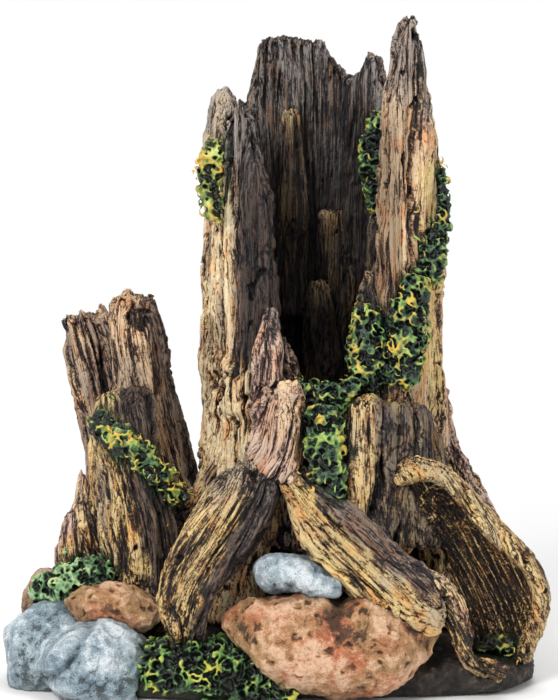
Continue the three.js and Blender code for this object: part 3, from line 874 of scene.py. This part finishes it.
def boulder_crease(points):
    """A notch in the boulder's top edge that runs down its front as a shallow valley."""
    line = boulder_middle[0] - 2 + 0.25 * (points[:, 2] - boulder_middle[2])
    valley = np.exp(-(((points[:, 0] - line) / 2.8) ** 2))
    return -3.2 * valley * ease(points[:, 2], boulder_middle[2] + 3, boulder_high[2])


def rock_crease(points):
    """A groove that slants down the blue rock's front, from right to left."""
    low, high = box_of("blue_rock")
    line = low[0] + 9 + 0.8 * (points[:, 2] - low[2])
    valley = np.exp(-(((points[:, 0] - line + 0.8 * noise(points / 4, 92)) / 1.6) ** 2))
    front = 1 - ease(points[:, 1], low[1] + 12, low[1] + 20)
    return -1.6 * valley * front


# ---- Moss ----

MOSS_GROUND = 0.2  # mm above the floor, the lowest that a strand may lie


def strand(points, radius, sides=6):
    """A thin flat blade that tapers along points, as corners and faces."""
    corners, faces = [], []
    steps = len(points)
    for i, point in enumerate(points):
        along = unit(points[min(i + 1, steps - 1)] - points[max(i - 1, 0)])
        side = unit(np.cross(along, (0.31, 0.87, 0.38)))
        up = np.cross(along, side)
        thin = radius * (1 - 0.55 * i / (steps - 1))
        for k in range(sides):
            turn = 2 * math.pi * k / sides
            corners.append(point + thin * (side * math.cos(turn) + 0.55 * up * math.sin(turn)))
    for i in range(steps - 1):
        for k in range(sides):
            low, high = i * sides, (i + 1) * sides
            faces.append((low + k, low + (k + 1) % sides, high + (k + 1) % sides, high + k))
    faces.append(tuple(reversed(range(sides))))
    faces.append(tuple(range((steps - 1) * sides, steps * sides)))
    return corners, faces


def loops(points, out, count, size, random):
    """Curling strands: open rings that stand at all angles on the pad and on the wood just round it."""
    corners, faces = [], []
    for start in random.choice(len(points), count):
        normal = out[start]
        tangent = unit(np.cross(normal, random.normal(size=3)))
        tilt = random.uniform(0.25, 1.3)
        rise = normal * math.sin(tilt) + np.cross(normal, tangent) * math.cos(tilt)
        radius = size * random.uniform(0.55, 1.15)
        first, sweep = random.uniform(-1.0, 0.2), random.uniform(2.4, 4.4)
        centre = points[start] + 0.3 * radius * normal
        path = []
        for t in np.linspace(0, 1, 11):
            turn, reach = first + sweep * t, radius * (1 - 0.45 * t)
            path.append(centre + reach * (math.cos(turn) * tangent + math.sin(turn) * rise))
        made, shape = strand(np.array(path), random.uniform(0.36, 0.6))
        faces.extend(tuple(len(corners) + i for i in face) for face in shape)
        corners.extend(made)
    return np.array(corners), faces


def rooting_places(node, points, out, random):
    """Points and outward directions for strands: most on the pad, some strayed on to what it grows on."""
    ground = tree_of(WOOD_NODES + ["base", node])
    places, ways = [points], [out]
    stray = points + random.normal(size=points.shape) * 2.6
    found = [ground.find_nearest(Vector(p), 4.0) for p in stray[::3]]
    hits = [(np.array(hit[0]), np.array(hit[1])) for hit in found if hit[0] is not None]
    if hits:
        places.append(np.array([hit[0] for hit in hits]))
        ways.append(np.array([hit[1] for hit in hits]))
    return np.concatenate(places), np.concatenate(ways)


def outside(tree, points):
    """True for each point on the outer side of the tree's nearest face."""
    hits = ((Vector(p), tree.find_nearest(Vector(p))) for p in points)
    return np.array([(point - hit[0]).dot(hit[1]) > 0 for point, hit in hits])


def grow_moss(node, seed, material, cell=2.6, height=1.2, loop_every=2.6, loop_size=1.45, sink=0.0):
    """Cast moss: a pitted pad, sunk by some mm, under a tangle of curling strands.

    cell and height are the pits' spacing and depth in mm, loop_every is the mm2 of pad for each strand, and
    loop_size is a strand's radius in mm.
    """
    piece = body_of(node, 0.9, 6, 1)
    mesh = piece.data
    points, out = points_of(mesh), normals_of(mesh)
    points -= sink * out
    pad = BVHTree.FromPolygons([Vector(p) for p in points], [tuple(f.vertices) for f in mesh.polygons])
    bend = np.column_stack([noise(points / 2.1 + 7 * k, seed + k) for k in range(3)])
    near, second, _ = cells((points + 1.5 * bend) / cell, seed + 3)
    ridge = 1 - ease(second - near, 0.0, 0.26)
    swell = 0.7 + 0.8 * noise(points / 4.5, seed + 4)
    push = ridge * height * swell - 1.2 * (1 - ridge) + 1.3 * noise(points / 6, seed + 6)
    net = points + out * push[:, None]
    random = np.random.default_rng(seed)
    area = sum(face.area for face in mesh.polygons) / MM**2
    places, ways = rooting_places(node, points, out, random)
    corners, faces = loops(places, ways, int(area / loop_every), loop_size, random)
    shape = [tuple(face.vertices) for face in mesh.polygons]
    shape += [tuple(len(net) + i for i in face) for face in faces]
    everything = np.concatenate((net, corners))
    everything[:, 2] = np.maximum(everything[:, 2], MOSS_GROUND)
    joined = bpy.data.meshes.new(node + "_cast")
    joined.from_pydata((everything * MM).tolist(), [], shape)
    piece.data = joined
    remesh(piece, 0.3, 1, 0)
    mesh = piece.data
    points = points_of(mesh)
    rise = gap_to(pad, points, 6.0)
    store(mesh, "grain", points)
    store(mesh, "tip", ease(np.where(outside(pad, points), rise, -rise), -1.4, 1.7 * loop_size))
    store(mesh, "patch", ease(noise(points / 4, seed + 8), -0.3, 0.3))
    finish_piece(piece, node, material)


def moss_paint(name, greens, tips, clump=1.8):
    """Moss: greens run from the holes to the strands, with painted shade in corners, and tips are two colours
    brushed on the highest.

    clump is how strongly light and dark clumps differ.
    """
    paint = Paint(name)
    place = paint.stored("grain", vector=True)
    grit = paint.noise(place, 0.7, 4.0, 0.6)
    patch = paint.stored("patch")
    clumps = paint.noise(place, 0.16, 2.0, 0.5)
    level = paint.maths("ADD", paint.stored("tip"), paint.around(grit, 0.8))
    level = paint.maths("ADD", level, paint.around(clumps, clump))
    # Painted shade: the moss is darker in corners and where it meets other pieces.
    corner = paint.maths("SUBTRACT", 1.0, open_to_light(paint, 2.5))
    level = paint.maths("SUBTRACT", level, paint.maths("MULTIPLY", corner, 0.55))
    base = paint.ramp(level, list(zip((0.2, 0.42, 0.66), greens)))
    tip = paint.mix(patch, *tips)
    base = paint.mix(paint.ramp(level, [(0.6, "#000000"), (0.95, "#ffffff")]), base, tip)
    return paint.finish(base, 0.42, grit, 0.25, 0.5)


deep_moss = moss_paint("deep_moss_paint", ("#0a100b", "#1b3a24", "#41693a"), ("#d6b044", "#9db75c"))
bright_moss = moss_paint("bright_moss_paint", ("#121c10", "#335636", "#6f9560"), ("#bcca8a", "#a3c79c"))
net_moss = moss_paint("net_moss_paint", ("#0b130a", "#1d391e", "#466c38"), ("#c9c251", "#7aa355"), 3.2)
gold_moss = moss_paint("gold_moss_paint", ("#1a190c", "#4b5f29", "#8d9a48"), ("#eaa840", "#c4d07a"))

MOSS_STYLES = {
    "moss_ground": dict(material=net_moss, cell=3.0, height=2.2, loop_every=7.0, loop_size=1.3),
    "moss_rocks": dict(material=bright_moss, loop_every=2.6, loop_size=1.3),
    "moss_left_wall": dict(material=gold_moss, loop_size=1.35, sink=0.7),
    "moss_snag": dict(material=deep_moss, loop_every=2.0, sink=1.6),
    "moss_alcove": dict(material=gold_moss, cell=3.6, height=1.0, loop_every=20.0, loop_size=1.4),
}

# ---- The base ----


def carve_base():
    """Dark earth: a flat underside, a rough worn rim and lumps on top."""
    piece = body_of("base", 1.8, 6, 2)
    mesh = piece.data
    points, out = points_of(mesh), normals_of(mesh)
    lumps = noise(points / 11, 501) + 0.6 * noise(points / 4.5, 502)
    grit = noise(points / 1.8, 503) + 0.6 * noise(points / 0.9, 504)
    steps = terrace(2 * noise(points / 7, 505))
    push = 0.8 * lumps + 0.3 * grit + 0.35 * steps
    above = ease(points[:, 2], 0.4, 2.5)
    points += out * (push * above)[:, None]
    points[:, 2] = np.maximum(points[:, 2], 0)
    move_points(mesh, points)
    store(mesh, "grain", points)
    store(mesh, "relief", np.clip(0.4 + 0.3 * lumps + 0.35 * grit, 0, 1))
    store(mesh, "green", moss_stain(points))
    finish_piece(piece, "base", earth_paint())


def earth_paint():
    """Dark earth, stained green where the moss is near."""
    paint = Paint("earth_paint")
    place = paint.stored("grain", vector=True)
    grit = paint.noise(place, 1.2, 6.0, 0.7)
    level = paint.maths("ADD", paint.stored("relief"), paint.maths("SUBTRACT", grit, 0.5), clamp=True)
    base = paint.ramp(level, [(0.2, "#12100e"), (0.55, "#2b2521"), (0.85, "#4a4035"), (1.0, "#7a6a4c")])
    base = paint.mix(paint.maths("MULTIPLY", paint.stored("green"), 0.4), base, "#1e3319")
    return paint.finish(base, 0.6, grit, 0.3, 0.35)


# ---- Making every piece ----

for number, wood_node in enumerate(WOOD_NODES):
    carve_wood(wood_node, 100 + 7 * number)

carve_stone("orange_boulder", 301, orange_paint, lumps=0.7, facets=2.8, pits=0.5, crease=boulder_crease)
carve_stone("orange_pebble", 321, orange_paint, lumps=0.5, facets=1.2, pits=0.8)
carve_stone("back_pebble", 331, tan_stone_paint, lumps=0.4, facets=1.0, pits=0.3)
carve_stone("blue_rock", 341, blue_paint, lumps=0.7, facets=3.2, pits=0.05, crease=rock_crease)
carve_stone("blue_stone", 361, blue_paint, lumps=0.3, facets=3.0, pits=0.05)

for number, moss_node in enumerate(MOSS_NODES):
    grow_moss(moss_node, 400 + 9 * number, **MOSS_STYLES.get(moss_node, dict(material=deep_moss)))

carve_base()

# ---- Studio ----

HEART = (0, 0, 0.09)  # what the camera and the lamps point at, m
CAMERA_PLACE = (0, -0.9, 0.235)
LENS = 167.3  # mm
SKY_GLOW = 0.5  # strength of the white surroundings as a light


def stage_floor():
    """A pale floor that takes the ornament's shadow and fades to plain white away from it."""
    size = 6.0
    corners = [(-size, -size, 0), (size, -size, 0), (size, size, 0), (-size, size, 0)]
    mesh = bpy.data.meshes.new("studio_floor")
    mesh.from_pydata(corners, [], [(0, 1, 2, 3)])
    floor = bpy.data.objects.new("studio_floor", mesh)
    bpy.context.scene.collection.objects.link(floor)
    paint = Paint("studio_floor_paint")
    place = paint.add("NewGeometry").outputs["Position"]
    reach = paint.add("VectorMath", {0: place}, operation="LENGTH").outputs["Value"]
    away = paint.add("MapRange", {"Value": reach, "From Min": 0.1, "From Max": 0.26}).outputs[0]
    near = paint.add("BsdfPrincipled", {"Base Color": (0.9, 0.9, 0.9, 1), "Roughness": 0.8}).outputs[0]
    far = paint.add("Emission", {"Strength": 1.0}).outputs[0]
    surface = paint.add("MixShader", {0: away, 1: near, 2: far}).outputs[0]
    paint.add("OutputMaterial", {"Surface": surface})
    mesh.materials.append(paint.material)


def facing_heart(place):
    return (Vector(HEART) - place).to_track_quat("-Z", "Y").to_euler()


def softbox(name, place, size, power, tint=(1, 1, 1)):
    """A square lamp that points at the ornament: place and size in m, power in W."""
    lamp = bpy.data.lights.new(name, "AREA")
    lamp.shape = "SQUARE"
    lamp.size = size
    lamp.energy = power
    lamp.color = tint
    box = bpy.data.objects.new(name, lamp)
    box.location = place
    box.rotation_euler = facing_heart(box.location)
    bpy.context.scene.collection.objects.link(box)


def studio():
    """White surroundings, three lamps and the camera."""
    scene = bpy.context.scene
    world = bpy.data.worlds.new("studio")
    world.use_nodes = True
    sky = world.node_tree
    glow = sky.nodes["Background"]
    glow.inputs["Color"].default_value = (1, 1, 1, 1)
    seen = sky.nodes.new("ShaderNodeLightPath").outputs["Is Camera Ray"]
    power = sky.nodes.new("ShaderNodeMapRange")
    power.inputs["To Min"].default_value = SKY_GLOW
    power.inputs["To Max"].default_value = 1.0
    sky.links.new(seen, power.inputs["Value"])
    sky.links.new(power.outputs[0], glow.inputs["Strength"])
    scene.world = world
    softbox("key_light", (-0.45, -0.75, 0.75), size=0.4, power=9, tint=(1, 0.98, 0.95))
    softbox("fill_light", (0.7, -0.6, 0.35), size=0.6, power=2)
    softbox("top_light", (0.1, 0.2, 0.95), size=0.5, power=4)
    lens = bpy.data.cameras.new("camera")
    lens.lens = LENS
    lens.clip_start = 0.01
    camera = bpy.data.objects.new("camera", lens)
    camera.location = CAMERA_PLACE
    camera.rotation_euler = facing_heart(camera.location)
    scene.collection.objects.link(camera)
    scene.camera = camera
    scene.view_settings.view_transform = "Standard"


stage_floor()
studio()
